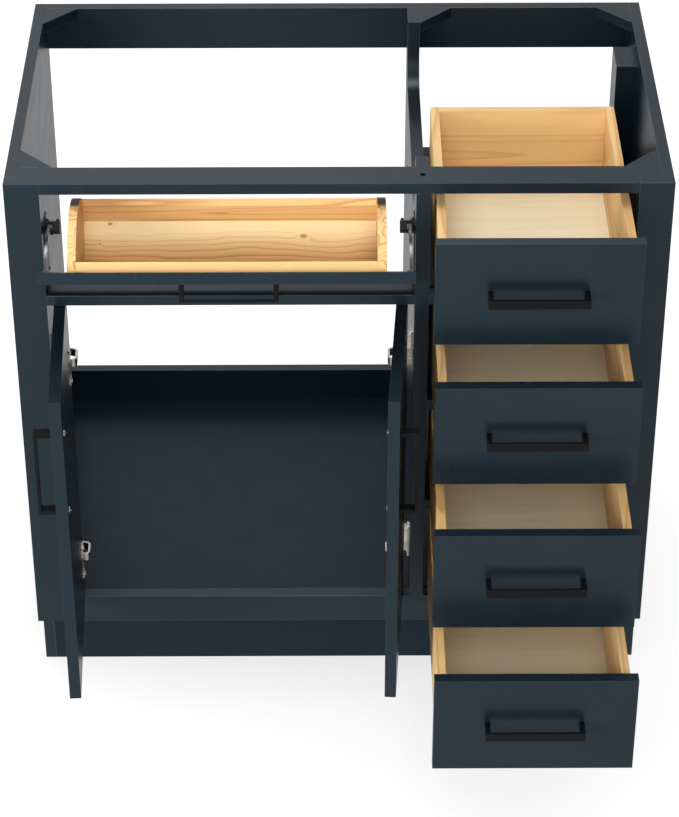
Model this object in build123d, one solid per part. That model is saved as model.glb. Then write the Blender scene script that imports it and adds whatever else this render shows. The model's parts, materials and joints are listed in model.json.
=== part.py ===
from build123d import *
from math import cos, sin, radians
import os

# A bathroom vanity base cabinet, open at the top for a basin and at the back for the plumbing.
# Left bay: a tip-out tray over a cupboard with two doors. Right bay: four drawers.
# Frame: X to the right, Y towards the wall, Z up. The origin is the middle of the cabinet's foot,
# on the floor, in the plane of the wall. Every part is placed as stored: doors, drawers and
# tip-out front open. All sizes are in millimetres.

# ---- driving dimensions ---------------------------------------------------------------------
WIDTH = 900.0
DEPTH = 525.0
HEIGHT = 878.0
BOARD = 16.0                     # side panels, shelf, rails, fronts
STILE_THICK = 18.0               # stiles of the face frame
STILE_WIDTH = 47.5
MID_STILE_WIDTH = 20.0
MID_STILE_LEFT = 103.5
RAIL_DEPTH = 45.0                # rails lie flat
TOE_HEIGHT = 121.0
TOE_RECESS = 59.0
SHELF_TOP = 168.0
BACK_TOP_RAIL = 67.0
BACK_LOW_RAIL_TOP = 224.0
CORNER_LEG = 48.0
DRAWERS = 4
GAP = 2.0                        # round the drawer fronts
WIDE_GAP = 2.5                   # round the doors and at the ends of the tip-out front

# ---- how far each moving part is stored open ------------------------------------------------
DRAWER_PULLS = (125.0, 199.0, 288.0, 377.0)
LEFT_DOOR_OPEN = 87.4
RIGHT_DOOR_OPEN = 86.2
TIPOUT_OPEN = 57.8

# ---- planes worked out from them --------------------------------------------------------------
FRONT = -DEPTH
STILE_BACK = FRONT + STILE_THICK
RAIL_BACK = FRONT + RAIL_DEPTH
OUTER = WIDTH / 2
INNER = OUTER - BOARD            # inner face of a side panel
EDGE = OUTER - STILE_WIDTH       # edge of the face frame's opening
TOE_FRONT = FRONT + TOE_RECESS
RAIL_UNDER_TOP = HEIGHT - BOARD
MID_STILE_RIGHT = MID_STILE_LEFT + MID_STILE_WIDTH
DIVIDER_THICK = 18.0
DIVIDER_RIGHT = MID_STILE_LEFT + DIVIDER_THICK
BACK_FACE = -BOARD               # front of the back rails
OPENING = (RAIL_UNDER_TOP - SHELF_TOP - (DRAWERS - 1) * BOARD) / DRAWERS
OPENING_BASES = [RAIL_UNDER_TOP - OPENING - i * (OPENING + BOARD) for i in range(DRAWERS)]
MID_RAIL_TOP = OPENING_BASES[0]
MID_RAIL_UNDER = MID_RAIL_TOP - BOARD
FRONT_INSIDE = FRONT + BOARD     # inner face of a closed door or drawer front
PAST = 1.0                       # how far a cutting shape passes the faces it cuts through

os.makedirs("parts", exist_ok=True)


def save(node, *shapes):
    """Write one node; several separate solids share a node as a group."""
    whole = shapes[0] if len(shapes) == 1 else Compound(children=list(shapes))
    export_step(whole, f"parts/{node}.step")


def block(x0, x1, y0, y1, z0, z1):
    """A rectangular board between two corners."""
    return Pos(x0, y0, z0) * Box(x1 - x0, y1 - y0, z1 - z0, align=(Align.MIN,) * 3)


def slab(points, z0, z1):
    """A board cut to an outline in plan."""
    return Pos(0, 0, z0) * extrude(make_face(Polyline(*points, close=True)), z1 - z0)


def sheet(outline, x0, x1):
    """A board cut to a side view: outline is a closed wire in (y, z), thickness along X."""
    return Pos(x0, 0, 0) * extrude(Plane.YZ * make_face(outline), x1 - x0)


def rod(centre, radius, length, axis="Z"):
    """A round bar along an axis, centred on a point."""
    turn = {"X": Rot(0, 90, 0), "Y": Rot(90, 0, 0), "Z": Rot(0, 0, 0)}[axis]
    return Pos(*centre) * turn * Cylinder(radius, length)


# ---- carcass ----------------------------------------------------------------------------------
def side_panel(x0):
    """Full-height side with a notch at the toe."""
    outline = Polyline(
        (STILE_BACK, HEIGHT), (0, HEIGHT), (0, 0), (TOE_FRONT, 0),
        (TOE_FRONT, TOE_HEIGHT), (STILE_BACK, TOE_HEIGHT), close=True,
    )
    return sheet(outline, x0, x0 + BOARD)


PIN_RADIUS = 2.5                 # tip-out pivot pins, pressed into the stiles
PIN_LENGTH = 24.0
PIN_FIT = 0.05
PIN_END_ROOM = 0.5
PIVOT_Y = FRONT + BOARD / 2      # the tip-out front turns about its pins
PIVOT_RISE = 22.2                # above the front's lower edge, which swings inwards over the rail
PIVOT_Z = MID_RAIL_TOP + GAP + PIVOT_RISE
PIN_CENTRES = [(-EDGE, PIVOT_Y, PIVOT_Z), (MID_STILE_LEFT, PIVOT_Y, PIVOT_Z)]
PINS = [rod(centre, PIN_RADIUS, PIN_LENGTH, "X") for centre in PIN_CENTRES]
RAIL_HOLE_X = 112.5
RAIL_HOLE_Y = FRONT + 24.0
RAIL_HOLE_RADIUS = 4.0


def top_front_rail():
    """A flat rail notched round both outer stiles, with one small hole."""
    outline = [
        (-EDGE, FRONT), (EDGE, FRONT), (EDGE, STILE_BACK), (INNER, STILE_BACK),
        (INNER, RAIL_BACK), (-INNER, RAIL_BACK), (-INNER, STILE_BACK), (-EDGE, STILE_BACK),
    ]
    rail = slab(outline, RAIL_UNDER_TOP, HEIGHT)
    return rail - rod((RAIL_HOLE_X, RAIL_HOLE_Y, HEIGHT - BOARD / 2), RAIL_HOLE_RADIUS, 2 * BOARD)


HORN_FRONT = 28.0                # full-height end of the divider behind the top rail
HORN_BACK = 46.0                 # and at the back
SCOOP_DEPTH = 95.0
SCOOP_RADIUS = 45.0


def divider():
    """Upright panel between the bays, scooped at the top to clear a basin."""
    low = HEIGHT - SCOOP_DEPTH
    y_front = RAIL_BACK + HORN_FRONT
    y_back = BACK_FACE - HORN_BACK
    bend = SCOOP_RADIUS * (1 - cos(radians(45)))
    outline = Polyline(
        (y_back, low + SCOOP_RADIUS), (y_back, HEIGHT), (BACK_FACE, HEIGHT),
        (BACK_FACE, SHELF_TOP), (STILE_BACK, SHELF_TOP), (STILE_BACK, RAIL_UNDER_TOP),
        (RAIL_BACK, RAIL_UNDER_TOP), (RAIL_BACK, HEIGHT), (y_front, HEIGHT),
        (y_front, low + SCOOP_RADIUS),
    )
    front_bend = ThreePointArc(
        (y_front, low + SCOOP_RADIUS), (y_front + bend, low + bend), (y_front + SCOOP_RADIUS, low)
    )
    floor = Line((y_front + SCOOP_RADIUS, low), (y_back - SCOOP_RADIUS, low))
    back_bend = ThreePointArc(
        (y_back - SCOOP_RADIUS, low), (y_back - bend, low + bend), (y_back, low + SCOOP_RADIUS)
    )
    whole = Wire([*outline.edges(), front_bend, floor, back_bend])
    return sheet(whole, MID_STILE_LEFT, DIVIDER_RIGHT)


def drawer_rail(top):
    """A flat rail between two drawers, notched round the middle stile."""
    outline = [
        (MID_STILE_RIGHT, FRONT), (EDGE, FRONT), (EDGE, RAIL_BACK),
        (DIVIDER_RIGHT, RAIL_BACK), (DIVIDER_RIGHT, STILE_BACK), (MID_STILE_RIGHT, STILE_BACK),
    ]
    return slab(outline, top - BOARD, top)


PACKING_DEPTH = 60.0
REAR_PACKING_FRONT = -170.0


def packing_strip(x0, x1, y0):
    """Upright strip that brings hinges and runners flush with the frame's opening."""
    return block(x0, x1, y0, y0 + PACKING_DEPTH, SHELF_TOP, RAIL_UNDER_TOP)


def corner_block(x, y, towards_x, towards_y):
    """Triangular brace in a top corner."""
    outline = [(x, y), (x + towards_x * CORNER_LEG, y), (x, y + towards_y * CORNER_LEG)]
    return slab(outline, RAIL_UNDER_TOP, HEIGHT)


def make_carcass():
    save("left_side_panel", side_panel(-OUTER))
    save("right_side_panel", side_panel(INNER))
    save("left_stile", block(-OUTER, -EDGE, FRONT, STILE_BACK, TOE_HEIGHT, HEIGHT) - PINS[0])
    save("right_stile", block(EDGE, OUTER, FRONT, STILE_BACK, TOE_HEIGHT, HEIGHT))
    mid_stile = block(
        MID_STILE_LEFT, MID_STILE_RIGHT, FRONT, STILE_BACK, SHELF_TOP, RAIL_UNDER_TOP
    )
    save("middle_stile", mid_stile - PINS[1])
    save("top_front_rail", top_front_rail())
    save(
        "middle_rail",
        block(-EDGE, MID_STILE_LEFT, FRONT, RAIL_BACK, MID_RAIL_UNDER, MID_RAIL_TOP),
    )
    save("drawer_rails", *[drawer_rail(base) for base in OPENING_BASES[:-1]])
    save("bottom_front_rail", block(-EDGE, EDGE, FRONT, STILE_BACK, TOE_HEIGHT, SHELF_TOP))
    save("toe_kick_board", block(-INNER, INNER, TOE_FRONT, TOE_FRONT + BOARD, 0, SHELF_TOP - BOARD))
    save("bottom_shelf", block(-INNER, INNER, STILE_BACK, BACK_FACE, SHELF_TOP - BOARD, SHELF_TOP))
    save("divider_panel", divider())
    save("back_top_rail", block(-INNER, INNER, BACK_FACE, 0, HEIGHT - BACK_TOP_RAIL, HEIGHT))
    save("back_bottom_rail", block(-INNER, INNER, BACK_FACE, 0, 0, BACK_LOW_RAIL_TOP))
    save(
        "packing_strips",
        packing_strip(-INNER, -EDGE, STILE_BACK),
        packing_strip(EDGE, INNER, STILE_BACK),
        packing_strip(EDGE, INNER, REAR_PACKING_FRONT),
    )
    save(
        "corner_blocks",
        corner_block(-INNER, RAIL_BACK, 1, 1),
        corner_block(INNER, RAIL_BACK, -1, 1),
        corner_block(-INNER, BACK_FACE, 1, -1),
        corner_block(INNER, BACK_FACE, -1, -1),
        corner_block(DIVIDER_RIGHT, BACK_FACE, 1, -1),
    )
    save("tipout_pivot_pins", *PINS)


# ---- bow handles ------------------------------------------------------------------------------
HANDLE_CENTRES = 128.0           # between the two fixing screws
HANDLE_POST = 6.5
HANDLE_HEIGHT = 13.0
HANDLE_REACH = 25.0
HANDLE_BAR = 4.0
HANDLE_ROUND = 1.5
HANDLE_SCREW_RADIUS = 2.0
HANDLE_SCREW_HEAD = 3.8
HANDLE_SCREW_HEAD_THICK = 2.0
HANDLE_SCREW_ROOM = 1.2          # round a screw head, in the wood behind a front
SCREW_PLACES = (-HANDLE_CENTRES / 2, HANDLE_CENTRES / 2)


def handle(upright=False):
    """A square bow with two posts, lying on the plane y = 0 and standing out towards -Y."""
    half = (HANDLE_CENTRES + HANDLE_POST) / 2
    bow = block(-half, half, -HANDLE_REACH, 0, -HANDLE_HEIGHT / 2, HANDLE_HEIGHT / 2)
    grip = half - HANDLE_POST
    bow -= block(-grip, grip, HANDLE_BAR - HANDLE_REACH, PAST, -HANDLE_HEIGHT, HANDLE_HEIGHT)
    outer_edges = bow.edges().filter_by(Axis.Z).sort_by(Axis.Y)[:2]
    bow = fillet(outer_edges, HANDLE_ROUND)
    for x in SCREW_PLACES:
        bow += rod((x, BOARD / 2, 0), HANDLE_SCREW_RADIUS, BOARD, "Y")
        head = (x, BOARD + HANDLE_SCREW_HEAD_THICK / 2, 0)
        bow += rod(head, HANDLE_SCREW_HEAD, HANDLE_SCREW_HEAD_THICK, "Y")
    return Rot(0, 90, 0) * bow if upright else bow


def screw_holes(upright=False):
    """The two holes for a handle's screws, in the same place as handle()."""
    left, right = [rod((x, 0, 0), HANDLE_SCREW_RADIUS, 3 * BOARD, "Y") for x in SCREW_PLACES]
    both = left + right
    return Rot(0, 90, 0) * both if upright else both


# ---- drawers ----------------------------------------------------------------------------------
BOX_LEFT = 131.0
BOX_RIGHT = 392.5
BOX_LENGTH = 380.0
BOX_WALL = 12.0
BOX_FOOT = 4.5                   # underside of the drawer sides, above the opening's base
BOX_TOP = 142.5
BOTTOM_UNDER = 13.5
BOTTOM_THICK = 6.0
GROOVE = 6.0
RUNNER_STEEL = 1.5
RUNNER_WALL_HEIGHT = 29.0
RUNNER_FRONT = FRONT_INSIDE + 4.0
RUNNER_WIDTH = 22.0
RUNNER_OFFSET = 1.5              # from the drawer's side to its runner
RUNNER_RISE = 1.0                # the fixed member, above the opening's base
MID_INSET = 3.0                  # the middle member is narrower by this on each side
MID_LOW = 3.0
MID_HIGH = 10.5
OUTER_LOW = 5.5


def drawer_parts(base):
    """The wooden parts of one closed drawer standing in the opening whose base is given."""
    y0, y1 = FRONT_INSIDE, FRONT_INSIDE + BOX_LENGTH
    left_in, right_in = BOX_LEFT + BOX_WALL, BOX_RIGHT - BOX_WALL
    centre_x = (MID_STILE_RIGHT + EDGE) / 2
    front = block(
        MID_STILE_RIGHT + GAP, EDGE - GAP, FRONT, FRONT_INSIDE, base + GAP, base + OPENING - GAP
    )
    grip = Pos(centre_x, FRONT, base + OPENING / 2)
    bottom_z = base + BOTTOM_UNDER
    ends_z = bottom_z + BOTTOM_THICK
    bottom = block(left_in - GROOVE, right_in + GROOVE, y0, y1, bottom_z, ends_z)
    sides = [
        block(x, x + BOX_WALL, y0, y1, base + BOX_FOOT, base + BOX_TOP) - bottom
        for x in (BOX_LEFT, right_in)
    ]
    ends = [
        block(left_in, right_in, y, y + BOX_WALL, ends_z, base + BOX_TOP)
        for y in (y0, y1 - BOX_WALL)
    ]
    screw_room = block(centre_x - OUTER, centre_x + OUTER, y0, y0 + BOX_WALL, 0, HEIGHT) & (
        grip * Pos(0, BOARD + BOX_WALL / 2, 0) * counterbores()
    )
    return {
        "front": [front - grip * screw_holes()],
        "handle": [grip * handle()],
        "sides": sides,
        "ends": [ends[0] - screw_room, ends[1]],
        "bottom": [bottom],
    }


def counterbores():
    """Wide holes in a box's front that the handle's screw heads sit in."""
    radius = HANDLE_SCREW_HEAD + HANDLE_SCREW_ROOM
    left, right = [rod((x, 0, 0), radius, 2 * BOX_WALL, "Y") for x in SCREW_PLACES]
    return left + right


def channel(x0, x1, z0, z1, y0):
    """A pressed steel channel, open downwards."""
    y1 = y0 + BOX_LENGTH
    tube = block(x0, x1, y0, y1, z0, z1)
    hollow = block(
        x0 + RUNNER_STEEL, x1 - RUNNER_STEEL, y0 - PAST, y1 + PAST, z0 - PAST, z1 - RUNNER_STEEL
    )
    return tube - hollow


def runner_members(base):
    """Fixed, middle and drawer members of the two runners under one closed drawer."""
    fixed, middle, moving = [], [], []
    y0, y1 = RUNNER_FRONT, RUNNER_FRONT + BOX_LENGTH
    floor = base + RUNNER_RISE
    left_start = BOX_LEFT + BOX_WALL + RUNNER_OFFSET
    right_start = BOX_RIGHT - BOX_WALL - RUNNER_OFFSET - RUNNER_WIDTH
    for x0, wall_x, reach in (
        (left_start, DIVIDER_RIGHT, left_start + RUNNER_WIDTH),
        (right_start, EDGE - RUNNER_STEEL, right_start),
    ):
        x1 = x0 + RUNNER_WIDTH
        wall = block(wall_x, wall_x + RUNNER_STEEL, y0, y1, floor, floor + RUNNER_WALL_HEIGHT)
        low, high = min(wall_x, reach), max(wall_x + RUNNER_STEEL, reach)
        fixed.append(wall + block(low, high, y0, y1, floor, floor + RUNNER_STEEL))
        middle.append(channel(x0 + MID_INSET, x1 - MID_INSET, base + MID_LOW, base + MID_HIGH, y0))
        moving.append(channel(x0, x1, base + OUTER_LOW, base + BOTTOM_UNDER, y0))
    return fixed, middle, moving


def make_drawers():
    fixed_runners = []
    for number, (base, pull) in enumerate(zip(OPENING_BASES, DRAWER_PULLS), start=1):
        out = Pos(0, -pull, 0)
        half_out = Pos(0, -pull / 2, 0)
        for piece, solids in drawer_parts(base).items():
            save(f"drawer_{number}_{piece}", *[out * solid for solid in solids])
        fixed, middle, moving = runner_members(base)
        fixed_runners += fixed
        save(f"drawer_{number}_middle_runners", *[half_out * solid for solid in middle])
        save(f"drawer_{number}_runners", *[out * solid for solid in moving])
    save("cabinet_runners", *fixed_runners)


# ---- doors and their concealed hinges ---------------------------------------------------------
DOOR_WIDTH = (MID_STILE_LEFT + EDGE - 3 * WIDE_GAP) / 2
DOOR_LOW = SHELF_TOP + GAP
DOOR_HIGH = MID_RAIL_UNDER - GAP
DOOR_HANDLE_INSET = 28.0         # from the free edge
DOOR_HANDLE_Z = 550.0
HINGE_HEIGHTS = (585.0, 239.0)
HINGE_IN = 15.5                  # hinge pin, in from the opening's edge
HINGE_BACK = 6.5                 # and back from the front face
CUP_IN = WIDE_GAP + 23.0         # cup's centre, in from the opening's edge
CUP_RADIUS = 17.5
CUP_DEPTH = 13.0
CUP_WALL = 0.9
HINGE_PIN_RADIUS = 1.3
EYE_RADIUS = 2.3
ARM_THICK = 3.0
ARM_WIDTH = 12.0
ARM_OUT = 34.0                   # the arm's neck, in from the opening's edge
ARM_RETURN = 31.0                # where the neck turns back, behind the front face
BASE_START, BASE_END = 28.0, 74.0
BASE_HIGH = 18.0
NECK_END = (16.0, 37.0)          # inside the base
PLATE_START, PLATE_END = 36.0, 54.0
PLATE_THICK = 3.0
PLATE_HALF = 28.5
FLANGE_HALF = 28.5
FLANGE_WIDTH = 21.0
FLANGE_THICK = 2.0
FLANGE_ROUND = 6.0
PLATE_ROUND = 4.0
NECK_BEND = 5.0
BASE_OVERHANG = 1.0              # the base is wider than the neck by this on each side

def hinge_cup(z):
    """Cup, flange and pin, at the left-hand edge x = 0 of an opening whose front face is y = 0."""
    centre_y = BOARD - CUP_DEPTH / 2
    cup = rod((CUP_IN, centre_y, z), CUP_RADIUS, CUP_DEPTH, "Y")
    flange = block(
        CUP_IN - FLANGE_WIDTH / 2, CUP_IN + FLANGE_WIDTH / 2,
        BOARD, BOARD + FLANGE_THICK, z - FLANGE_HALF, z + FLANGE_HALF,
    )
    flange = fillet(flange.edges().filter_by(Axis.Y), FLANGE_ROUND)
    hollow_y = centre_y + CUP_WALL + FLANGE_THICK
    hollow = rod((CUP_IN, hollow_y, z), CUP_RADIUS - CUP_WALL, CUP_DEPTH + 2 * FLANGE_THICK, "Y")
    reach = CUP_IN - HINGE_IN + HINGE_PIN_RADIUS
    half_chord = ((CUP_RADIUS - CUP_WALL / 4) ** 2 - reach**2) ** 0.5
    pin = rod((HINGE_IN, HINGE_BACK, z), HINGE_PIN_RADIUS, 2 * half_chord)
    return cup + flange - hollow + pin


def cup_bore(z):
    """The round pocket in the door that takes a cup."""
    return rod((CUP_IN, BOARD - CUP_DEPTH / 2, z), CUP_RADIUS, CUP_DEPTH, "Y")


def hinge_arm(z):
    """Swan-neck arm with its eye round the cup's pin and its base on the cabinet."""
    low, high = z - ARM_WIDTH / 2, z + ARM_WIDTH / 2
    neck = [
        (HINGE_IN, HINGE_BACK), (ARM_OUT, HINGE_BACK), (ARM_OUT, ARM_RETURN), NECK_END,
    ]
    path = FilletPolyline(*neck, radius=NECK_BEND)
    section = offset(path, ARM_THICK / 2, side=Side.BOTH)
    arm = Pos(0, 0, low) * extrude(make_face(section), ARM_WIDTH)
    arm += rod((HINGE_IN, HINGE_BACK, z), EYE_RADIUS, ARM_WIDTH)
    arm -= rod((HINGE_IN, HINGE_BACK, z), HINGE_PIN_RADIUS + PIN_FIT, 2 * ARM_WIDTH)
    base = block(
        PLATE_THICK, BASE_HIGH, BASE_START, BASE_END, low - BASE_OVERHANG, high + BASE_OVERHANG
    )
    return arm + base


def mounting_plate(z):
    """Winged plate screwed to the cabinet under an arm."""
    plate = block(0, PLATE_THICK, PLATE_START, PLATE_END, z - PLATE_HALF, z + PLATE_HALF)
    return fillet(plate.edges().filter_by(Axis.X), PLATE_ROUND)


def door_set():
    """A closed left-hand door in its opening's own frame: edge at x = 0, front face at y = 0."""
    leaf = block(WIDE_GAP, WIDE_GAP + DOOR_WIDTH, 0, BOARD, DOOR_LOW, DOOR_HIGH)
    grip = Pos(WIDE_GAP + DOOR_WIDTH - DOOR_HANDLE_INSET, 0, DOOR_HANDLE_Z)
    leaf -= grip * screw_holes(upright=True)
    for z in HINGE_HEIGHTS:
        leaf -= cup_bore(z)
    return leaf, grip * handle(upright=True), [hinge_cup(z) for z in HINGE_HEIGHTS]


def make_doors():
    leaf, grip, cups = door_set()
    pin_axis = Axis((HINGE_IN, HINGE_BACK, 0), (0, 0, 1))
    arms = [hinge_arm(z) for z in HINGE_HEIGHTS] + [mounting_plate(z) for z in HINGE_HEIGHTS]
    cabinet_side = []
    for name, angle in (("left", LEFT_DOOR_OPEN), ("right", RIGHT_DOOR_OPEN)):

        def place(solid, swing):
            """Swing a solid open about the hinge pins, then put it at its side of the bay."""
            turned = solid.rotate(pin_axis, -angle) if swing else solid
            if name == "left":
                return Pos(-EDGE, FRONT, 0) * turned
            return Pos(MID_STILE_LEFT, FRONT, 0) * turned.mirror(Plane.YZ)

        save(f"{name}_door", place(leaf, True))
        save(f"{name}_door_handle", place(grip, True))
        save(f"{name}_door_hinge_cups", *[place(cup, True) for cup in cups])
        cabinet_side += [place(arm, False) for arm in arms]
    save("hinge_arms", *cabinet_side)


# ---- tip-out front and tray -------------------------------------------------------------------
PANEL_LEFT = -EDGE + WIDE_GAP
PANEL_RIGHT = MID_STILE_LEFT - WIDE_GAP
PANEL_LOW = MID_RAIL_TOP + GAP
PANEL_HIGH = RAIL_UNDER_TOP - GAP
PANEL_ROUND = 5.0                # lower outer edge, to clear the rail as it turns
TRAY_WALL = 14.0
TRAY_END = 12.0
TRAY_WIDTH = 425.0
TRAY_LOW = PANEL_LOW + 2.5
TRAY_FLOOR = TRAY_LOW + 6.6      # its upper face
TRAY_HIGH = 846.0
TRAY_LIP = 742.0                 # top of the low back wall
TRAY_REACH = 86.0                # from the front wall to the lip
TRAY_BULGE = (65.0, 70.0)        # the ends' curve passes this far behind the wall and above the lip
LEAN = 0.668                     # the back wall leans out by this per unit of height
BACK_WALL = 10.0
STAY_RADIUS = 70.0               # curved stays, centred on the pivot
STAY_THICK = 7.0                 # radially
STAY_WIDTH = 4.0
STAY_CLEAR = 5.0                 # from the opening's edge
STAY_END = 109.0                 # degrees back from upright
GUIDE_ANGLE = 40.2               # where the guides hold the stays
GUIDE = (20.0, 20.0, 16.0)       # across, along the stay, radially
GUIDE_SLOT = 1.1                 # room round the stay
GUIDE_ROUND = 2.0
GUIDE_PLATE = (1.5, 39.0, 94.0)  # thickness, depth and height of the plate that carries a guide
GUIDE_PLATE_FRONT = STILE_BACK + 3.0
GUIDE_PLATE_LOW = MID_RAIL_TOP + 5.5
STAY_FOOT = (9.0, 2.0, 16.0)     # width, thickness and height, screwed to the front
FOOT_OVERHANG = 2.0              # past the stay, towards the stile
STAY_STOP = 4.0                  # the stop's height, towards the pivot
STAY_STOP_SPAN = 1.5             # and its length in degrees


def tray_section():
    """Planes of the tray in side view, closed: y of each face at the height asked for."""
    y_wall = FRONT_INSIDE + TRAY_WALL
    y_lip = y_wall + TRAY_REACH

    def back_inner(z):
        return y_lip - BACK_WALL - (TRAY_LIP - z) * LEAN

    return y_wall, y_lip, back_inner


def tray_end(x0):
    """A curved end, high at the front and low at the back."""
    y_wall, y_lip, back_inner = tray_section()
    bulge = (y_wall + TRAY_BULGE[0], TRAY_LIP + TRAY_BULGE[1])
    arc = ThreePointArc((y_wall, TRAY_HIGH), bulge, (y_lip, TRAY_LIP))
    rest = Polyline(
        (y_lip, TRAY_LIP), (back_inner(TRAY_LOW) + BACK_WALL, TRAY_LOW), (FRONT_INSIDE, TRAY_LOW),
        (FRONT_INSIDE, TRAY_HIGH), (y_wall, TRAY_HIGH),
    )
    return sheet(Wire([arc, *rest.edges()]), x0, x0 + TRAY_END)


def stay_arm(x0, foot_x0):
    """A curved bar on the tip-out front, with a foot at one end and a stop at the other."""
    outer = STAY_RADIUS + STAY_THICK / 2
    inner = STAY_RADIUS - STAY_THICK / 2
    back = FRONT_INSIDE - PIVOT_Y

    def at(radius, angle):
        return PIVOT_Y + radius * sin(radians(angle)), PIVOT_Z + radius * cos(radians(angle))

    ring = Pos(x0, PIVOT_Y, PIVOT_Z) * Rot(0, 90, 0) * (
        Cylinder(outer, STAY_WIDTH, align=(Align.CENTER, Align.CENTER, Align.MIN))
        - Cylinder(inner, STAY_WIDTH, align=(Align.CENTER, Align.CENTER, Align.MIN))
    )
    far = 2 * STAY_RADIUS
    wedge = Polyline(
        (FRONT_INSIDE, PIVOT_Z), (FRONT_INSIDE, PIVOT_Z + far), at(far, 50), at(far, STAY_END),
        (PIVOT_Y, PIVOT_Z), close=True,
    )
    bar = ring & sheet(wedge, x0, x0 + STAY_WIDTH)
    foot_top = PIVOT_Z + (outer**2 - back**2) ** 0.5
    wide, thick, high = STAY_FOOT
    foot = block(
        foot_x0, foot_x0 + wide, FRONT_INSIDE, FRONT_INSIDE + thick, foot_top - high, foot_top
    )
    stop_start = STAY_END - STAY_STOP_SPAN
    stop = Polyline(
        at(inner - STAY_STOP, STAY_END), at(outer, STAY_END), at(outer, stop_start),
        at(inner - STAY_STOP, stop_start), close=True,
    )
    return bar + foot + sheet(stop, x0, x0 + STAY_WIDTH)


def stay_guide(x0, stay_x, plate_x):
    """A plastic block on a thin plate, with a slot that a curved stay slides through."""
    across, along, radial = GUIDE
    body = Box(across, along, radial, align=(Align.MIN, Align.CENTER, Align.CENTER))
    body = fillet(body.edges().filter_by(Axis.X), GUIDE_ROUND)
    slot = Pos(stay_x - x0 - GUIDE_SLOT, 0, 0) * Box(
        STAY_WIDTH + 2 * GUIDE_SLOT, 2 * along, STAY_THICK + 2 * GUIDE_SLOT,
        align=(Align.MIN, Align.CENTER, Align.CENTER),
    )
    y = PIVOT_Y + STAY_RADIUS * sin(radians(GUIDE_ANGLE))
    z = PIVOT_Z + STAY_RADIUS * cos(radians(GUIDE_ANGLE))
    in_place = Pos(x0, y, z) * Rot(-GUIDE_ANGLE, 0, 0)
    thick, deep, high = GUIDE_PLATE
    plate = Pos(plate_x, GUIDE_PLATE_FRONT, GUIDE_PLATE_LOW) * Box(
        thick, deep, high, align=(Align.MIN,) * 3
    )
    return in_place * body + plate - in_place * slot


def make_tipout():
    tip_axis = Axis((0, PIVOT_Y, PIVOT_Z), (1, 0, 0))

    def tipped(*solids):
        return [solid.rotate(tip_axis, TIPOUT_OPEN) for solid in solids]

    centre_x = (PANEL_LEFT + PANEL_RIGHT) / 2
    panel = block(PANEL_LEFT, PANEL_RIGHT, FRONT, FRONT_INSIDE, PANEL_LOW, PANEL_HIGH)
    low_outer_edge = panel.edges().filter_by(Axis.X).group_by(Axis.Z)[0].sort_by(Axis.Y)[:1]
    panel = fillet(low_outer_edge, PANEL_ROUND)
    for centre in PIN_CENTRES:
        panel -= rod(centre, PIN_RADIUS + PIN_FIT, PIN_LENGTH + 2 * PIN_END_ROOM, "X")
    grip = Pos(centre_x, FRONT, (PANEL_LOW + PANEL_HIGH) / 2)
    panel -= grip * screw_holes()

    y_wall, y_lip, back_inner = tray_section()
    left_end = centre_x - TRAY_WIDTH / 2
    right_end = centre_x + TRAY_WIDTH / 2 - TRAY_END
    x0, x1 = left_end + TRAY_END, right_end
    front_wall = block(x0, x1, FRONT_INSIDE, y_wall, TRAY_LOW, TRAY_HIGH)
    front_wall -= grip * Pos(0, BOARD + BOX_WALL / 2, 0) * counterbores()
    back_wall = sheet(
        Polyline(
            (back_inner(TRAY_LOW), TRAY_LOW), (back_inner(TRAY_LIP), TRAY_LIP), (y_lip, TRAY_LIP),
            (back_inner(TRAY_LOW) + BACK_WALL, TRAY_LOW), close=True,
        ),
        x0, x1,
    )
    tray_floor = sheet(
        Polyline(
            (y_wall, TRAY_LOW), (back_inner(TRAY_LOW), TRAY_LOW),
            (back_inner(TRAY_FLOOR), TRAY_FLOOR), (y_wall, TRAY_FLOOR), close=True,
        ),
        x0, x1,
    )
    left_stay = -EDGE + STAY_CLEAR
    right_stay = MID_STILE_LEFT - STAY_CLEAR - STAY_WIDTH

    save("tipout_front", *tipped(panel))
    save("tipout_handle", *tipped(grip * handle()))
    save("tipout_tray_walls", *tipped(front_wall, back_wall))
    save("tipout_tray_floor", *tipped(tray_floor))
    save("tipout_tray_ends", *tipped(tray_end(left_end), tray_end(right_end)))
    stays = (
        stay_arm(left_stay, left_stay - FOOT_OVERHANG),
        stay_arm(right_stay, right_stay + STAY_WIDTH + FOOT_OVERHANG - STAY_FOOT[0]),
    )
    save("tipout_stays", *tipped(*stays))
    save(
        "tipout_stay_guides",
        stay_guide(-EDGE, left_stay, -EDGE),
        stay_guide(MID_STILE_LEFT - GUIDE[0], right_stay, MID_STILE_LEFT - GUIDE_PLATE[0]),
    )


make_carcass()
make_drawers()
make_doors()
make_tipout()
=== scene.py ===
"""Looks for a bathroom vanity cabinet: softened boards, fittings, procedural paint, wood, metal."""

import json
import math
import random

import bmesh
import bpy
from mathutils import Matrix, Vector

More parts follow.
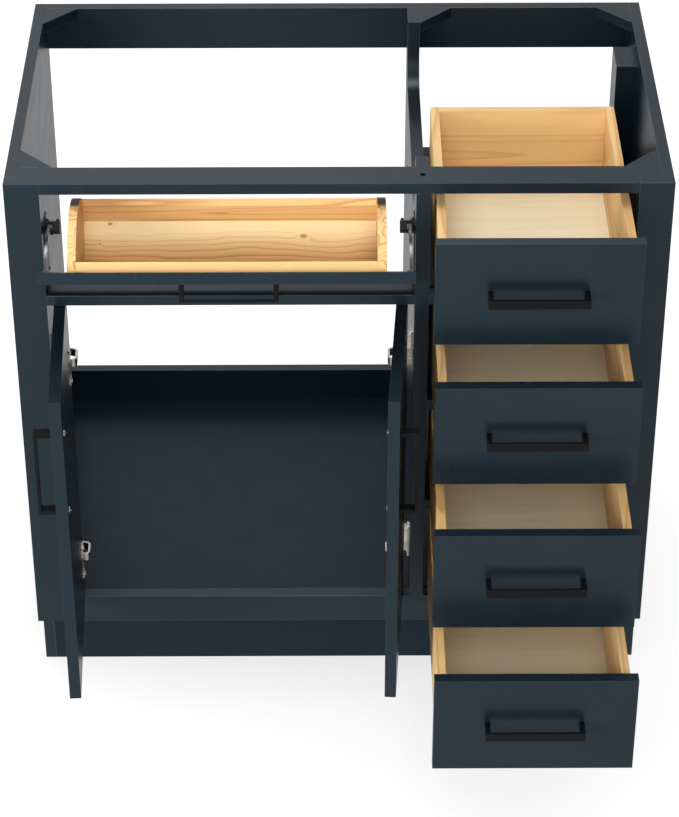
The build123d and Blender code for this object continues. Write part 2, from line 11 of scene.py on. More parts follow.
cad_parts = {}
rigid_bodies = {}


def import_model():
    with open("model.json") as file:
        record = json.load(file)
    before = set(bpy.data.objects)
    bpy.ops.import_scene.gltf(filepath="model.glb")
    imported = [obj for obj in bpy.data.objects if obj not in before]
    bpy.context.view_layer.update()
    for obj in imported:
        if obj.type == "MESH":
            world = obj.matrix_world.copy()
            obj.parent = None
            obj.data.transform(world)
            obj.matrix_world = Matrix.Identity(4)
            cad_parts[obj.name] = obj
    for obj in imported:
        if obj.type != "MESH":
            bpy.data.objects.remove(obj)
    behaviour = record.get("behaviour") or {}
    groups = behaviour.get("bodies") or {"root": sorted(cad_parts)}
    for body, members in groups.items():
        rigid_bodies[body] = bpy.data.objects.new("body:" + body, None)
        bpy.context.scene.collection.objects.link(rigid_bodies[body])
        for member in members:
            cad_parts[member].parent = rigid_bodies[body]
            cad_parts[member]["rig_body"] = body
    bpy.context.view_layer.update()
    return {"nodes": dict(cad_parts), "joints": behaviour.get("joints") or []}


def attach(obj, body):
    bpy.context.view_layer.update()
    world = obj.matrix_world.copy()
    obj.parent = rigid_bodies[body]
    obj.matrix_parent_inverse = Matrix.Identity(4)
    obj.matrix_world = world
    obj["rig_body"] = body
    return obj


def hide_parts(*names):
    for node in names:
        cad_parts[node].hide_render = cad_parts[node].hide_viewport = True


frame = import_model()
MM = 0.001
JOINTS = {joint["name"]: joint for joint in frame["joints"]}
DRAWERS = (1, 2, 3, 4)
SIDES = ("left", "right")
SEED = 7

# ---- camera -----------------------------------------------------------------------------------
SENSOR_MM = 36.0                 # its height
LENS_MM = 121.53
CAMERA_MM = (-17.4, -3700.6, 2771.6)
CAMERA_DOWN = 35.464             # degrees below level
CAMERA_TURN = -0.319             # degrees about the vertical
CAMERA_REACH = 100.0


def add_camera():
    """A long lens, high in front and a little left of the middle."""
    data = bpy.data.cameras.new("camera")
    data.sensor_fit = "VERTICAL"
    data.sensor_height = SENSOR_MM
    data.lens = LENS_MM
    data.dof.use_dof = False
    data.clip_end = CAMERA_REACH
    camera = bpy.data.objects.new("camera", data)
    camera.location = [c * MM for c in CAMERA_MM]
    camera.rotation_euler = (math.radians(90 - CAMERA_DOWN), 0.0, math.radians(CAMERA_TURN))
    bpy.context.scene.collection.objects.link(camera)
    bpy.context.scene.camera = camera


# ---- node helpers -----------------------------------------------------------------------------
class Shader:
    """A material's node tree with short calls for the nodes used here."""

    def __init__(self, name):
        self.material = bpy.data.materials.new(name)
        self.material.use_nodes = True
        self.tree = self.material.node_tree
        self.principled = self.tree.nodes["Principled BSDF"]

    def node(self, kind, **settings):
        made = self.tree.nodes.new(kind)
        for key, value in settings.items():
            setattr(made, key, value)
        return made

    def link(self, output, target):
        self.tree.links.new(output, target)

    def set(self, socket, value):
        self.principled.inputs[socket].default_value = value

    def coordinates(self, scale=(1, 1, 1), offset=(0, 0, 0)):
        """Object coordinates in metres, stretched and shifted."""
        source = self.node("ShaderNodeTexCoord").outputs["Object"]
        mapping = self.node("ShaderNodeMapping")
        mapping.inputs["Scale"].default_value = scale
        mapping.inputs["Location"].default_value = offset
        self.link(source, mapping.inputs["Vector"])
        return mapping.outputs["Vector"]

    def noise(self, vector, scale, detail=3.0, rough=0.5, distortion=0.0):
        made = self.node("ShaderNodeTexNoise")
        self.link(vector, made.inputs["Vector"])
        made.inputs["Scale"].default_value = scale
        made.inputs["Detail"].default_value = detail
        made.inputs["Roughness"].default_value = rough
        made.inputs["Distortion"].default_value = distortion
        return made.outputs["Fac"]

    def ramp(self, fac, *stops):
        """A colour or grey ramp; each stop is (place, colour)."""
        made = self.node("ShaderNodeValToRGB")
        self.link(fac, made.inputs["Fac"])
        elements = made.color_ramp.elements
        while len(elements) < len(stops):
            elements.new(0.5)
        for element, (place, colour) in zip(elements, stops):
            element.position = place
            element.color = colour if len(colour) == 4 else (*colour, 1.0)
        return made.outputs["Color"]

    def math(self, operation, first, second=None, clamp=False):
        made = self.node("ShaderNodeMath", operation=operation, use_clamp=clamp)
        for socket, value in zip(made.inputs, (first, second)):
            if value is None:
                continue
            if isinstance(value, (int, float)):
                socket.default_value = value
            else:
                self.link(value, socket)
        return made.outputs["Value"]

    def plus(self, first, second):
        return self.math("ADD", first, second)

    def times(self, first, second, clamp=False):
        return self.math("MULTIPLY", first, second, clamp)

    def vector_math(self, operation, vector, constant, output="Vector"):
        made = self.node("ShaderNodeVectorMath", operation=operation)
        self.link(vector, made.inputs[0])
        made.inputs[1].default_value = constant
        return made.outputs[output]

    def mix(self, fac, first, second):
        made = self.node("ShaderNodeMix", data_type="RGBA")
        for socket, value in (("Factor", fac), ("A", first), ("B", second)):
            found = [s for s in made.inputs if s.name == socket and s.enabled][0]
            if isinstance(value, (int, float)):
                found.default_value = value
            elif isinstance(value, (tuple, list)):
                found.default_value = value if len(value) == 4 else (*value, 1.0)
            else:
                self.link(value, found)
        return [s for s in made.outputs if s.enabled][0]

    def attribute(self, name):
        return self.node("ShaderNodeAttribute", attribute_name=name).outputs["Fac"]

    def bump(self, height, strength, distance, after=None):
        made = self.node("ShaderNodeBump")
        made.inputs["Strength"].default_value = strength
        made.inputs["Distance"].default_value = distance
        self.link(height, made.inputs["Height"])
        if after is not None:
            self.link(after, made.inputs["Normal"])
        return made.outputs["Normal"]

    def finish(self, colour, roughness=None, normal=None):
        wanted = (("Base Color", colour), ("Roughness", roughness), ("Normal", normal))
        for socket, value in wanted:
            if value is not None:
                self.link(value, self.principled.inputs[socket])
        return self.material


def grey(value):
    return (value, value, value)


def shade(colour, factor):
    return [c * factor for c in colour]


# ---- materials --------------------------------------------------------------------------------
EDGE = "edge"                    # face attribute: 1 on a softened edge
X_AXIS, Y_AXIS, Z_AXIS = 0, 1, 2

NAVY = (0.0056, 0.0120, 0.0185)
# pale navy painted onto the rounded edges as a highlight
NAVY_EDGE_HIGHLIGHT = (0.07, 0.095, 0.115)
PAINT_SHEEN = (0.74, 0.92, 1.0, 1.0)
PAINT_LEVEL = 0.43               # strength of the paint's mirror gloss
DULL_LEVEL = 0.2
MOTTLE = 0.07                    # share by which the paint's tone wanders
# how strongly the painted edge highlight is laid on, patchy through noise
EDGE_HIGHLIGHT_AMOUNT = 0.9

# each wood has a pale, a middle and a dark tone
PINE = ((0.90, 0.66, 0.33), (0.82, 0.50, 0.19), (0.46, 0.18, 0.04))
PALE_PINE = ((0.96, 0.82, 0.51), (0.94, 0.75, 0.42), (0.58, 0.28, 0.08))
BIRCH = ((0.89, 0.82, 0.62), (0.86, 0.78, 0.55), (0.70, 0.58, 0.34))
WOOD_ROUGHNESS = 0.5
WOOD_LEVEL = 0.4
RING_STRETCH = 0.07              # the rings are drawn out along the grain, the fibres more so
FIBRE_STRETCH = 0.02
RING_COUNT = 13.0
RING_WANDER = 2.5
KNOT_STRETCH = 0.55
KNOT_PUSH = 0.5                  # how far a knot turns the rings aside
NATURAL = 2.718
# almost black, painted onto the back-turned faces of the tray ends: darker end grain with painted
# shade
END_GRAIN_AND_SHADE = (0.020, 0.018, 0.014)

# in the tipped tray's floor the rings crowd together down its slope
TRAY_GRADE = ((0.0, -0.4730, 0.7680), (0.0, -0.533, -0.846))
GRADE_LENGTH = 0.045
GRADE_RINGS = 6.5
GRADE_CALM = 0.22                # what is left of the usual rings there
GRADE_WAVES = 0.030
GRADE_STRETCH = (0.35, 1.0, 1.0)
GRADE_ORANGE = (0.80, 0.43, 0.13)
TRAY_KNOTS = (
    # middle, size
    ((-0.3146, -0.4665, 0.7802), 0.0026),
    ((-0.3290, -0.4810, 0.7570), 0.0014),
    ((-0.0490, -0.4757, 0.7656), 0.0034),
)

BLACK = (0.003, 0.003, 0.0035)
NICKEL = (0.66, 0.63, 0.57)
ZINC = (0.60, 0.61, 0.62)
STEEL = (0.22, 0.22, 0.225)
BLACK_STEEL = (0.045, 0.045, 0.047)
NYLON = (0.014, 0.014, 0.015)
UPRIGHT_BRUSHING = (1, 0.05, 1)


def paint(name, roughness, seed, level=PAINT_LEVEL):
    """Sprayed satin paint: faint orange peel, roller mottle, and a painted highlight that makes the
    rounded edges paler.
    """
    shader = Shader(name)
    shader.set("Specular IOR Level", level)
    shader.set("Specular Tint", PAINT_SHEEN)
    place = shader.coordinates(offset=(seed, seed, seed))
    mottle = shader.noise(place, scale=9.0, detail=4.0, rough=0.55)
    cloud = shader.ramp(mottle, (0.3, shade(NAVY, 1 - MOTTLE)), (0.7, shade(NAVY, 1 + MOTTLE)))
    # painted highlight: the rounded edge faces are lightened towards pale navy, broken up by noise
    edge_highlight = shader.times(shader.attribute(EDGE), shader.noise(place, scale=60.0, rough=0.6))
    edge_highlight = shader.times(edge_highlight, EDGE_HIGHLIGHT_AMOUNT, clamp=True)
    colour = shader.mix(edge_highlight, cloud, NAVY_EDGE_HIGHLIGHT)
    smudge = shader.noise(place, scale=22.0, detail=5.0, rough=0.6, distortion=0.4)
    gloss = shader.ramp(
        smudge, (0.25, grey(roughness - 0.035)), (0.75, grey(roughness + 0.045))
    )
    peel = shader.noise(place, scale=620.0, detail=2.0)
    waves = shader.noise(place, scale=34.0, detail=2.0)
    normal = shader.bump(waves, strength=0.05, distance=0.002)
    normal = shader.bump(peel, strength=0.06, distance=0.0004, after=normal)
    return shader.finish(colour, gloss, normal)


def stretched(along, factor):
    scale = [1.0, 1.0, 1.0]
    scale[along] = factor
    return scale


def knot_swirl(shader, knots, along):
    """1 in the heart of a knot and 0 away from it."""
    squeeze = stretched(along, KNOT_STRETCH)
    swirl = None
    for centre, size in knots:
        middle = [c * s for c, s in zip(centre, squeeze)]
        distance = shader.vector_math("DISTANCE", shader.coordinates(squeeze), middle, "Value")
        near = shader.math("DIVIDE", distance, size)
        fall = shader.math("POWER", NATURAL, shader.times(shader.times(near, near), -0.5))
        swirl = fall if swirl is None else shader.math("MAXIMUM", swirl, fall)
    return swirl


def past_grade(shader, grade, seed):
    """0 before the grade's point and 1 a grade length past it, with a wavy front."""
    start, direction = grade
    offset = shader.vector_math("SUBTRACT", shader.coordinates(), start)
    down = shader.vector_math("DOT_PRODUCT", offset, direction, "Value")
    waves = shader.noise(
        shader.coordinates(GRADE_STRETCH, (seed, 0, 0)), scale=16.0, detail=2.0
    )
    waves = shader.times(shader.math("SUBTRACT", waves, 0.5), GRADE_WAVES)
    return shader.times(shader.plus(down, waves), 1.0 / GRADE_LENGTH, clamp=True)


def wood(name, tones, along, rings, contrast, seed, knots=(), grade=None, tip=False):
    """Lacquered wood with growth rings stretched along one axis, fibres, and knots.

    grade is (point, direction): past the point the rings crowd together and the wood gets darker.
    With tip, the faces turned to the back are painted almost black: darker end grain with painted
    shade over it.
    """
    pale, mid, dark = tones
    shader = Shader(name)
    shader.set("Specular IOR Level", WOOD_LEVEL)
    place = shader.coordinates(stretched(along, RING_STRETCH), (seed, 0.7 * seed, 0.3 * seed))
    swirl = knot_swirl(shader, knots, along)
    wander = shader.noise(place, scale=6.0)
    bands = shader.noise(place, scale=rings * 0.35, detail=2.0, distortion=0.6)
    if swirl is not None:
        bands = shader.plus(bands, shader.times(swirl, KNOT_PUSH))
    phase = shader.plus(shader.times(bands, RING_COUNT), shader.times(wander, RING_WANDER))
    past = None
    if grade is not None:
        past = past_grade(shader, grade, seed)
        phase = shader.plus(shader.times(phase, GRADE_CALM), shader.times(past, GRADE_RINGS))
    ring = shader.math("FRACT", phase)
    late = shader.ramp(
        ring, (0.0, grey(0.15)), (0.62, grey(0.25)), (0.93, grey(1.0)), (1.0, grey(0.1))
    )
    fibre_place = shader.coordinates(stretched(along, FIBRE_STRETCH), (seed, seed, seed))
    fibre = shader.noise(fibre_place, scale=900.0, detail=2.0, rough=0.6)
    blotch = shader.noise(place, scale=4.0)
    colour = shader.mix(blotch, pale, mid)
    if past is not None:
        late = shader.times(late, shader.plus(shader.times(past, 1.3), 0.2))
        colour = shader.mix(shader.times(past, 0.85), colour, GRADE_ORANGE)
    colour = shader.mix(shader.times(late, contrast), colour, dark)
    colour = shader.mix(shader.times(fibre, 0.22), colour, shade(mid, 0.62))
    if swirl is not None:
        core = shader.ramp(swirl, (0.55, grey(0.0)), (0.95, grey(0.75)))
        colour = shader.mix(core, colour, shade(dark, 0.5))
    # painted shade: faces turned to the back darken to near black, over the darker end grain
    if tip:
        turned = shader.node("ShaderNodeSeparateXYZ")
        shader.link(shader.node("ShaderNodeTexCoord").outputs["Normal"], turned.inputs[0])
        end = shader.ramp(turned.outputs["Y"], (0.0, grey(0.0)), (0.12, grey(0.9)))
        colour = shader.mix(end, colour, END_GRAIN_AND_SHADE)
    gloss = shader.ramp(
        fibre, (0.3, grey(WOOD_ROUGHNESS - 0.05)), (0.7, grey(WOOD_ROUGHNESS + 0.08))
    )
    normal = shader.bump(fibre, strength=0.12, distance=0.0003)
    normal = shader.bump(ring, strength=0.05, distance=0.0004, after=normal)
    return shader.finish(colour, gloss, normal)


def metal(name, base, roughness, seed, grain=0.08, metallic=1.0, brushed=(1, 1, 1), level=0.5):
    """Plated or coated metal with fine brush marks and a little tarnish."""
    shader = Shader(name)
    shader.set("Metallic", metallic)
    shader.set("Specular IOR Level", level)
    place = shader.coordinates(brushed, (seed, seed, seed))
    fine = shader.noise(place, scale=1400.0, detail=2.0, rough=0.6)
    tarnish_place = shader.coordinates(offset=(seed, 0, 0))
    tarnish = shader.noise(tarnish_place, scale=70.0, detail=4.0, rough=0.6)
    colour = shader.ramp(tarnish, (0.3, shade(base, 0.8)), (0.7, base))
    gloss = shader.ramp(fine, (0.2, grey(roughness - 0.06)), (0.8, grey(roughness + 0.1)))
    return shader.finish(colour, gloss, shader.bump(fine, grain, distance=0.0002))


def moulded(name, base, roughness, seed):
    """Moulded plastic with a fine spark-eroded texture."""
    shader = Shader(name)
    place = shader.coordinates(offset=(seed, seed, 0))
    fine = shader.noise(place, scale=1800.0, rough=0.6)
    cloud = shader.noise(place, scale=40.0)
    colour = shader.ramp(cloud, (0.3, shade(base, 0.85)), (0.7, base))
    gloss = shader.ramp(fine, (0.3, grey(roughness - 0.05)), (0.7, grey(roughness + 0.08)))
    return shader.finish(colour, gloss, shader.bump(fine, strength=0.15, distance=0.0002))


def make_materials():
    """Every material of the object, by short name."""
    return {
        "frame": paint("painted_frame", roughness=0.30, seed=1.3),
        "fronts": paint("painted_fronts", roughness=0.28, seed=4.1),
        "low": paint("painted_low_boards", roughness=0.36, seed=2.2, level=DULL_LEVEL),
        "pine_x": wood("pine_long", PINE, X_AXIS, rings=30.0, contrast=0.75, seed=2.7),
        "pine_end": wood("pine_end", PINE, Z_AXIS, rings=50.0, contrast=1.0, seed=6.2, tip=True),
        "birch_x": wood("birch_cross", BIRCH, X_AXIS, rings=24.0, contrast=0.30, seed=8.8),
        "pine_y": wood("pine_side", PINE, Y_AXIS, rings=26.0, contrast=0.55, seed=3.9),
        "pine_back": wood("pine_back", PINE, X_AXIS, rings=26.0, contrast=0.40, seed=12.4),
        "pine_floor": wood(
            "pine_pale", PALE_PINE, X_AXIS, rings=26.0, contrast=0.95, seed=2.7,
            knots=TRAY_KNOTS, grade=TRAY_GRADE,
        ),
        "black": metal(
            "black_powder_coat", BLACK, roughness=0.45, seed=5.5,
            grain=0.12, metallic=0.0, level=DULL_LEVEL,
        ),
        "nickel": metal("nickel_plate", NICKEL, roughness=0.26, seed=2.2),
        "zinc": metal("zinc_plate", ZINC, roughness=0.34, seed=7.4, brushed=UPRIGHT_BRUSHING),
        "steel": metal("plain_steel", STEEL, roughness=0.30, seed=6.6),
        "dark_steel": metal("black_oxide", BLACK_STEEL, roughness=0.35, seed=3.3),
        "plastic": moulded("black_nylon", NYLON, roughness=0.42, seed=9.1),
    }


# ---- mesh helpers -----------------------------------------------------------------------------
SAME_POINT = 1e-5
FLAT_DEGREES = 1.0               # below this two faces count as one
SHARP_DEGREES = 35               # above this an edge is rounded
SHOWN_SHARP_DEGREES = 40.0       # above this an edge is shaded as sharp
HEAD_SHARP_DEGREES = 30.0        # the same for screw heads


def place_object(name, mesh, material, body):
    """Link a finished mesh with its material and ride it on its body."""
    mesh.materials.append(material)
    piece = bpy.data.objects.new(name, mesh)
    bpy.context.scene.collection.objects.link(piece)
    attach(piece, body)
    return piece


def mesh_from(bm, name, sharp_degrees=SHOWN_SHARP_DEGREES):
    mesh = bpy.data.meshes.new(name)
    bm.to_mesh(mesh)
    bm.free()
    mesh.shade_smooth()
    mesh.set_sharp_from_angle(angle=math.radians(sharp_degrees))
    return mesh


def body_of(node):
    return frame["nodes"][node]["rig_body"]


def soften(node, material, radius, segments=3):
    """The CAD node with its sharp edges rounded; rounded faces carry the edge attribute."""
    bm = bmesh.new()
    bm.from_mesh(frame["nodes"][node].data)
    bmesh.ops.remove_doubles(bm, verts=bm.verts, dist=SAME_POINT)
    bmesh.ops.dissolve_limit(
        bm, angle_limit=math.radians(FLAT_DEGREES), verts=bm.verts, edges=bm.edges
    )
    sharp = [
        edge for edge in bm.edges
        if len(edge.link_faces) == 2
        and edge.calc_face_angle(0.0) > math.radians(SHARP_DEGREES)
    ]
    layer = bm.faces.layers.float.new(EDGE)
    made = bmesh.ops.bevel(
        bm, geom=sharp, offset=radius, segments=segments, profile=0.5, affect="EDGES",
        clamp_overlap=True,
    )
    for face in made["faces"]:
        face[layer] = 1.0
    mesh = mesh_from(bm, node)
    piece = place_object(f"{node}_shown", mesh, material, body_of(node))
    even = piece.modifiers.new("even_normals", "WEIGHTED_NORMAL")
    even.keep_sharp = True
    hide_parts(node)


# ---- what is shown ----------------------------------------------------------------------------
BOARD_ROUND = 0.7 * MM           # radii of the softened edges
FRONT_ROUND = 0.8 * MM
BOX_ROUND = 0.6 * MM
HANDLE_ROUND = 0.5 * MM
GUIDE_ROUND = 0.4 * MM
THIN_ROUND = 0.3 * MM
SHEET_ROUND = 0.25 * MM
SMALL = 2                        # segments of a small piece's edges
PAINTED_BOARDS = (
    "left_side_panel", "right_side_panel", "left_stile", "right_stile", "middle_stile",
    "top_front_rail", "middle_rail", "drawer_rails", "bottom_front_rail", "divider_panel",
    "back_top_rail", "back_bottom_rail", "packing_strips", "corner_blocks",
)
DULL_BOARDS = ("toe_kick_board", "bottom_shelf")
HANDLES = (
    "tipout_handle", "left_door_handle", "right_door_handle",
    *(f"drawer_{number}_handle" for number in DRAWERS),
)


def paint_carcass(materials):
    for node in PAINTED_BOARDS:
        soften(node, materials["frame"], BOARD_ROUND)
    for node in DULL_BOARDS:
        soften(node, materials["low"], BOARD_ROUND)


def paint_fronts(materials):
    soften("tipout_front", materials["fronts"], FRONT_ROUND)
    for side in SIDES:
        soften(f"{side}_door", materials["fronts"], FRONT_ROUND)
    for number in DRAWERS:
        soften(f"drawer_{number}_front", materials["fronts"], FRONT_ROUND)


def finish_woodwork(materials):
    for number in DRAWERS:
        soften(f"drawer_{number}_sides", materials["pine_y"], BOX_ROUND)
        soften(f"drawer_{number}_ends", materials["pine_back"], BOX_ROUND)
        soften(f"drawer_{number}_bottom", materials["birch_x"], THIN_ROUND)
    soften("tipout_tray_walls", materials["pine_x"], BOARD_ROUND)
    soften("tipout_tray_floor", materials["pine_floor"], THIN_ROUND)
    soften("tipout_tray_ends", materials["pine_end"], BOARD_ROUND)


def finish_fittings(materials):
    for node in HANDLES:
        soften(node, materials["black"], HANDLE_ROUND)
    for side in SIDES:
        soften(f"{side}_door_hinge_cups", materials["nickel"], SHEET_ROUND, SMALL)
    soften("hinge_arms", materials["nickel"], THIN_ROUND, SMALL)
    soften("tipout_stays", materials["steel"], THIN_ROUND, SMALL)
    soften("tipout_stay_guides", materials["plastic"], GUIDE_ROUND, SMALL)
    soften("tipout_pivot_pins", materials["zinc"], THIN_ROUND, SMALL)
    soften("cabinet_runners", materials["dark_steel"], SHEET_ROUND, SMALL)
    for number in DRAWERS:
        soften(f"drawer_{number}_runners", materials["dark_steel"], SHEET_ROUND, SMALL)
        soften(f"drawer_{number}_middle_runners", materials["dark_steel"], SHEET_ROUND, SMALL)


# ---- small fittings the CAD leaves out --------------------------------------------------------
# rings of a head's profile, as shares of its radius and height
SCREW_RINGS = ((1.0, 0.0), (1.0, 0.35), (0.86, 0.84), (0.62, 1.0))
RIVET_RINGS = ((1.0, 0.0), (1.0, 0.4), (0.8, 0.8), (0.45, 1.0))
RECESS_RINGS = ((0.5, 1.0), (0.42, 0.45))            # rim and bottom of the driver recess
CROSS = ((1.0, 0.26), (0.26, 0.26), (0.26, 1.0))     # one quarter of its outline
QUARTERS = ((1, 0), (0, 1), (-1, 0), (0, -1))        # cosine and sine of each quarter turn

# head radius and height
FLANGE_SCREW = (3.2 * MM, 1.6 * MM)
PLATE_SCREW = (3.1 * MM, 1.5 * MM)
HANDLE_SCREW = (4.1 * MM, 2.4 * MM)
STAY_RIVET = (2.4 * MM, 0.7 * MM)
GUIDE_PEG = (2.3 * MM, 3.2 * MM)
GUIDE_SCREW = (2.9 * MM, 1.2 * MM)
MOST_SPIN = 3                    # radians by which a screw's recess is turned at most


def cross_points(reach):
    """The twelve corners of a cross, anticlockwise."""
    points = []
    for c, s in QUARTERS:
        points += [(reach * (x * c - y * s), reach * (x * s + y * c)) for x, y in CROSS]
    return points


def head(radius, height, recess):
    """A pan head standing on z = 0, with a cross recess unless it is a rivet."""
    bm = bmesh.new()
    angles = [math.atan2(y, x) for x, y in cross_points(1.0)]
    rings = [
        [
            bm.verts.new((radius * r * math.cos(a), radius * r * math.sin(a), height * z))
            for a in angles
        ]
        for r, z in (SCREW_RINGS if recess else RIVET_RINGS)
    ]
    if recess:
        for scale, z in RECESS_RINGS:
            corners = cross_points(radius * scale)
            rings.append([bm.verts.new((x, y, height * z)) for x, y in corners])
    for low, high in zip(rings, rings[1:]):
        for i in range(len(angles)):
            j = (i + 1) % len(angles)
            bm.faces.new((low[i], low[j], high[j], high[i]))
    bm.faces.new(rings[0][::-1])
    bm.faces.new(rings[-1])
    return bm


def fasten(name, places, size, material, body, recess=True):
    """One mesh of several heads; each place is (point in metres, outward direction, spin)."""
    whole = bmesh.new()
    for point, outward, spin in places:
        one = head(*size, recess)
        turn = Vector(outward).to_track_quat("Z", "Y").to_matrix().to_4x4()
        one.transform(Matrix.Translation(point) @ turn @ Matrix.Rotation(spin, 4, "Z"))
        part = bpy.data.meshes.new("head")
        one.to_mesh(part)
        one.free()
        whole.from_mesh(part)
        bpy.data.meshes.remove(part)
    place_object(name, mesh_from(whole, name, HEAD_SHARP_DEGREES), material, body)


def opened(joint, point, direction, degrees):
    """Where a point and a direction of the closed state are at rest, turned about a joint."""
    data = JOINTS[joint]
    pivot = Vector(data["pos_m"])
    turn = Matrix.Rotation(math.radians(degrees), 3, Vector(data["axis"]))
    return pivot + turn @ (Vector(point) - pivot), turn @ Vector(direction)


BAY_EDGE = {"left": -0.4025, "right": 0.1035}        # the two sides of the door opening
TOWARDS = {"left": 1.0, "right": -1.0}               # from each of them into the bay
CLOSED_TURN = {"left": -87.4, "right": 86.2}         # degrees from closed to rest
FRONT_FACE = -0.525
DOOR_THICK = 0.016
DOOR_WIDTH = 0.24925
DOOR_GAP = 0.0025
HINGE_HEIGHTS = (0.585, 0.239)
HANDLE_HEIGHTS = (0.486, 0.614)                      # of a door handle's two screws
HANDLE_INSET = 0.028                                 # from the door's free edge
CUP_CENTRE = 0.0255                                  # from the side of the opening
FLANGE_BACK = 0.018                                  # behind the front face
FLANGE_SCREW_RISES = (-0.0235, 0.0235)               # from the hinge's middle
PLATE_FACE = 0.003                                   # from the side of the opening
PLATE_SCREW_BACK = 0.045
PLATE_SCREW_RISES = (-0.021, 0.021)
ARM_FACE = 0.018
ADJUSTER_BACKS = (0.040, 0.064)


def add_hinge_screws(materials, chance):
    """Two screws in each flange, two in each plate, two adjusters in each arm."""
    for side in SIDES:
        edge, into, joint = BAY_EDGE[side], TOWARDS[side], f"{side}_door_swing"
        flange, plate = [], []
        for z in HINGE_HEIGHTS:
            for rise in FLANGE_SCREW_RISES:
                point = (edge + into * CUP_CENTRE, FRONT_FACE + FLANGE_BACK, z + rise)
                turned = opened(joint, point, (0, 1, 0), CLOSED_TURN[side])
                flange.append((*turned, chance.uniform(0, MOST_SPIN)))
            for rise in PLATE_SCREW_RISES:
                point = Vector((edge + into * PLATE_FACE, FRONT_FACE + PLATE_SCREW_BACK, z + rise))
                plate.append((point, (into, 0, 0), chance.uniform(0, MOST_SPIN)))
            for back in ADJUSTER_BACKS:
                point = Vector((edge + into * ARM_FACE, FRONT_FACE + back, z))
                plate.append((point, (into, 0, 0), chance.uniform(0, MOST_SPIN)))
        fasten(
            f"{side}_hinge_flange_screws", flange, FLANGE_SCREW, materials["nickel"],
            f"{side}_door_leaf",
        )
        fasten(
            f"{side}_hinge_plate_screws", plate, PLATE_SCREW, materials["nickel"],
            "cabinet",
        )


def add_handle_screws(materials, chance):
    """The bright screw heads inside the doors, over the heads of the fixing screws."""
    for side in SIDES:
        edge, into, joint = BAY_EDGE[side], TOWARDS[side], f"{side}_door_swing"
        across = edge + into * (DOOR_GAP + DOOR_WIDTH - HANDLE_INSET)
        places = []
        for z in HANDLE_HEIGHTS:
            point = (across, FRONT_FACE + DOOR_THICK, z)
            turned = opened(joint, point, (0, 1, 0), CLOSED_TURN[side])
            places.append((*turned, chance.uniform(0, MOST_SPIN)))
        fasten(
            f"{side}_handle_screws", places, HANDLE_SCREW, materials["nickel"],
            f"{side}_door_leaf",
        )


TIP_TURN = 57.8                                      # degrees from closed to rest
STAY_RADIUS = 0.070
STAY_RIVETS = (30.0, 60.0, 85.0)                     # degrees back from upright, closed
STAY_FLANKS = {"left": -0.3935, "right": 0.0945}     # the flank of each stay that faces the tray
GUIDE_CENTRE = (-0.4718, 0.7782)                     # y and z
GUIDE_TILT = 40.2
PEG_LIFT = 0.0078                                    # from the guide's centre outwards
PEGS = ((0.003, -0.0065), (0.017, -0.0065), (0.017, 0.0065))    # into the bay, along the stay
GUIDE_PLATE_FACE = 0.0015
GUIDE_SCREWS = ((-0.4800, 0.7960), (-0.4960, 0.7130), (-0.4730, 0.7130))


def add_stay_fittings(materials, chance):
    """Rivets on the curved stays, pegs on the guides and screws in their plates."""
    pivot = JOINTS["tipout_tilt"]["pos_m"]
    for side in SIDES:
        edge, into = BAY_EDGE[side], TOWARDS[side]
        rivets = []
        for degrees in STAY_RIVETS:
            lean = math.radians(degrees)
            point = (
                STAY_FLANKS[side], pivot[1] + STAY_RADIUS * math.sin(lean),
                pivot[2] + STAY_RADIUS * math.cos(lean),
            )
            rivets.append((*opened("tipout_tilt", point, (into, 0, 0), TIP_TURN), 0.0))
        fasten(
            f"{side}_stay_rivets", rivets, STAY_RIVET, materials["nickel"],
            "tipout", recess=False,
        )
        lean = math.radians(GUIDE_TILT)
        outward = Vector((0, math.sin(lean), math.cos(lean)))
        along = Vector((0, math.cos(lean), -math.sin(lean)))
        pegs = []
        for across, shift in PEGS:
            centre = Vector((edge + into * across, *GUIDE_CENTRE))
            pegs.append((centre + outward * PEG_LIFT + along * shift, outward, 0.0))
        fasten(
            f"{side}_guide_pegs", pegs, GUIDE_PEG, materials["plastic"],
            "cabinet", recess=False,
        )
        screws = []
        for y, z in GUIDE_SCREWS:
            point = Vector((edge + into * GUIDE_PLATE_FACE, y, z))
            screws.append((point, (into, 0, 0), chance.uniform(0, MOST_SPIN)))
        fasten(
            f"{side}_guide_screws", screws, GUIDE_SCREW, materials["dark_steel"],
            "cabinet",
        )


# ---- studio -----------------------------------------------------------------------------------
# how bright the white room is towards each side; the brightness falls off smoothly between them
ROOM = (
    # axis, sign, brightness
    ("X", -1, 0.1), ("X", 1, 0.15), ("Y", -1, 0.9),
    ("Y", 1, 0.8), ("Z", 1, 0.12), ("Z", -1, 0.5),
)
ROOM_COLOUR = (0.98, 0.99, 1.0, 1.0)
FLOOR_HALF = 12.0
FLOOR_DROP = 0.5 * MM            # below the cabinet's feet
FLOOR_TONES = (0.09, 0.11)
FLOOR_GLOW = 1.05                # the floor's own light, dimmed near the cabinet
FLOOR_SHADOW = 0.35              # how much of it the cabinet can take away
FLOOR_SHADOW_REACH = 0.45
FLOOR_SHADOW_SAMPLES = 16
LAMPS = (
    # name, place, size, power, mirrored in gloss
    ("side", (-3.4, -0.3, 1.6), 1.6, 30.0, True),
    ("low", (-2.6, -2.6, 1.0), 1.6, 105.0, True),
    ("front", (0.0, -3.6, 2.6), 1.8, 70.0, False),
    ("top", (-0.3, 0.0, 3.6), 1.8, 50.0, True),
    ("back", (-0.6, 4.2, 4.6), 2.0, 12.0, True),
)
AIM = (0.0, -0.3, 0.4)


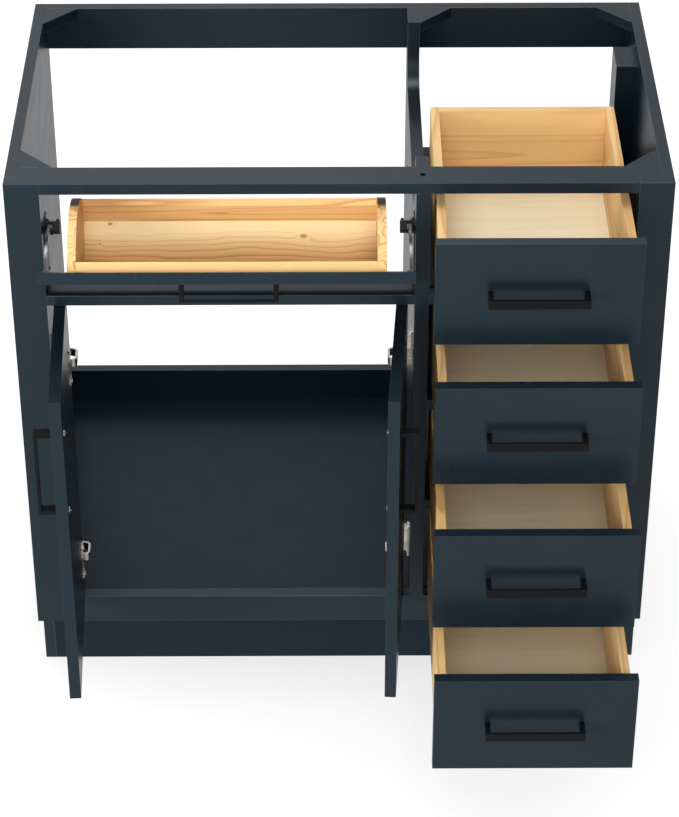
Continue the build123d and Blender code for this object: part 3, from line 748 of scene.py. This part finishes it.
def add_floor():
    """A pale floor that shows shadows and lights nothing; the room from below is its bounce."""
    bm = bmesh.new()
    corners = (
        (-FLOOR_HALF, -FLOOR_HALF), (FLOOR_HALF, -FLOOR_HALF),
        (FLOOR_HALF, FLOOR_HALF), (-FLOOR_HALF, FLOOR_HALF),
    )
    bm.faces.new([bm.verts.new((x, y, -FLOOR_DROP)) for x, y in corners])
    mesh = mesh_from(bm, "floor")
    shader = Shader("floor_white")
    shader.set("Specular IOR Level", 0.0)
    shader.set("Roughness", 1.0)
    shader.set("Emission Color", (1.0, 1.0, 1.0, 1.0))
    near = shader.node("ShaderNodeAmbientOcclusion", samples=FLOOR_SHADOW_SAMPLES)
    near.inputs["Distance"].default_value = FLOOR_SHADOW_REACH
    open_sky = shader.plus(shader.times(near.outputs["AO"], FLOOR_SHADOW), 1.0 - FLOOR_SHADOW)
    glow = shader.times(open_sky, FLOOR_GLOW)
    shader.link(glow, shader.principled.inputs["Emission Strength"])
    soft = shader.noise(shader.coordinates(), scale=0.6, detail=2.0)
    low, high = FLOOR_TONES
    mesh.materials.append(shader.finish(shader.ramp(soft, (0.0, grey(low)), (1.0, grey(high)))))
    floor = bpy.data.objects.new("floor", mesh)
    floor.visible_diffuse = False
    floor.visible_glossy = False
    bpy.context.scene.collection.objects.link(floor)


def add_room():
    """White surroundings whose brightness depends on direction."""
    world = bpy.data.worlds.new("room")
    world.use_nodes = True
    tree = world.node_tree

    def maths(operation, source, factor, clamp=False):
        made = tree.nodes.new("ShaderNodeMath")
        made.operation = operation
        made.use_clamp = clamp
        made.inputs[1].default_value = factor
        tree.links.new(source, made.inputs[0])
        return made

    direction = tree.nodes.new("ShaderNodeTexCoord").outputs["Generated"]
    axes = tree.nodes.new("ShaderNodeSeparateXYZ")
    tree.links.new(direction, axes.inputs[0])
    total = None
    for axis, sign, brightness in ROOM:
        facing = maths("MULTIPLY", axes.outputs[axis], sign, clamp=True)
        squared = maths("POWER", facing.outputs[0], 2.0)
        part = maths("MULTIPLY_ADD", squared.outputs[0], brightness)
        part.inputs[2].default_value = 0.0
        if total is not None:
            tree.links.new(total, part.inputs[2])
        total = part.outputs[0]
    background = tree.nodes["Background"]
    tree.links.new(total, background.inputs["Strength"])
    background.inputs["Color"].default_value = ROOM_COLOUR
    bpy.context.scene.world = world


def add_lamp(name, place, size, power, mirrored):
    data = bpy.data.lights.new(name, "AREA")
    data.shape = "SQUARE"
    data.size = size
    data.energy = power
    lamp = bpy.data.objects.new(name, data)
    lamp.location = place
    lamp.rotation_euler = (Vector(AIM) - Vector(place)).to_track_quat("-Z", "Y").to_euler()
    lamp.visible_glossy = mirrored
    bpy.context.scene.collection.objects.link(lamp)


def add_studio():
    bpy.context.scene.view_settings.view_transform = "Standard"
    add_room()
    for lamp in LAMPS:
        add_lamp(*lamp)
    add_floor()


# ---- build ------------------------------------------------------------------------------------
materials = make_materials()
paint_carcass(materials)
paint_fronts(materials)
finish_woodwork(materials)
finish_fittings(materials)
chance = random.Random(SEED)
add_hinge_screws(materials, chance)
add_handle_screws(materials, chance)
add_stay_fittings(materials, chance)
add_studio()
add_camera()
